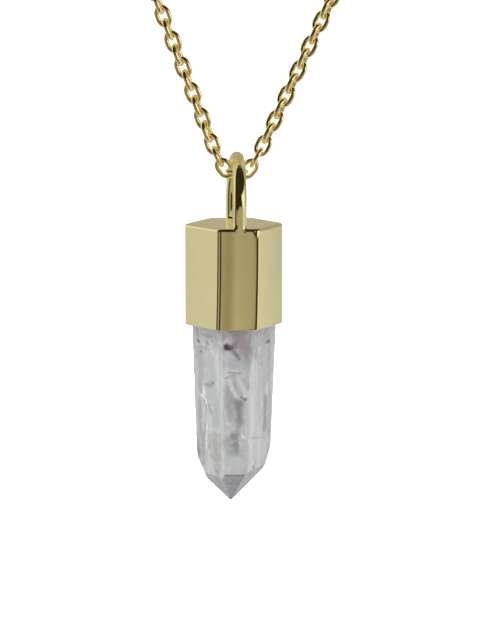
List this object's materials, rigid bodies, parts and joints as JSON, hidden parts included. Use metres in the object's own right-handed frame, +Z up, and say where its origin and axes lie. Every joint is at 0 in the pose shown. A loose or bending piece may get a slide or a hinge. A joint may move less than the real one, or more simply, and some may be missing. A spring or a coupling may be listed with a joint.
{
  "type": "talisman necklace",
  "caption": "Pointed quartz crystal in a six-sided gold cap with a soldered hoop bail, hung on a whole gold cable chain with a round clasp.",
  "frame": {"origin": "nape, the highest point of the chain's loop, where the necklace sits on what holds it up", "axes": "+Z up, -Y is the front of the pendant, +X to the right seen from the front; the loop hangs in the XZ plane"},
  "size_m": [0.1095, 0.014, 0.2355],
  "materials": {
    "cap_gold": "polished pale yellow gold plate with soft polished edges",
    "quartz": "clear to smoky quartz with veils and a pale amethyst zone under the cap",
    "chain_gold": "bright warm gold plate on round wire links"
  },
  "bodies": {
    "necklace": {"chain_left": "chain_gold", "chain_right": "chain_gold", "jump_ring": "chain_gold", "clasp": "chain_gold", "end_ring": "chain_gold"},
    "pendant": {"cap_bail": "cap_gold", "crystal": "quartz"}
  },
  "joints": [
    {"name": "pendant_swing", "type": "hinge", "parent": "necklace", "child": "pendant", "pos_m": [-0.00691, 0, -0.19009], "axis": [1, 0, 0], "range_deg": [-60, 60]}
  ]
}
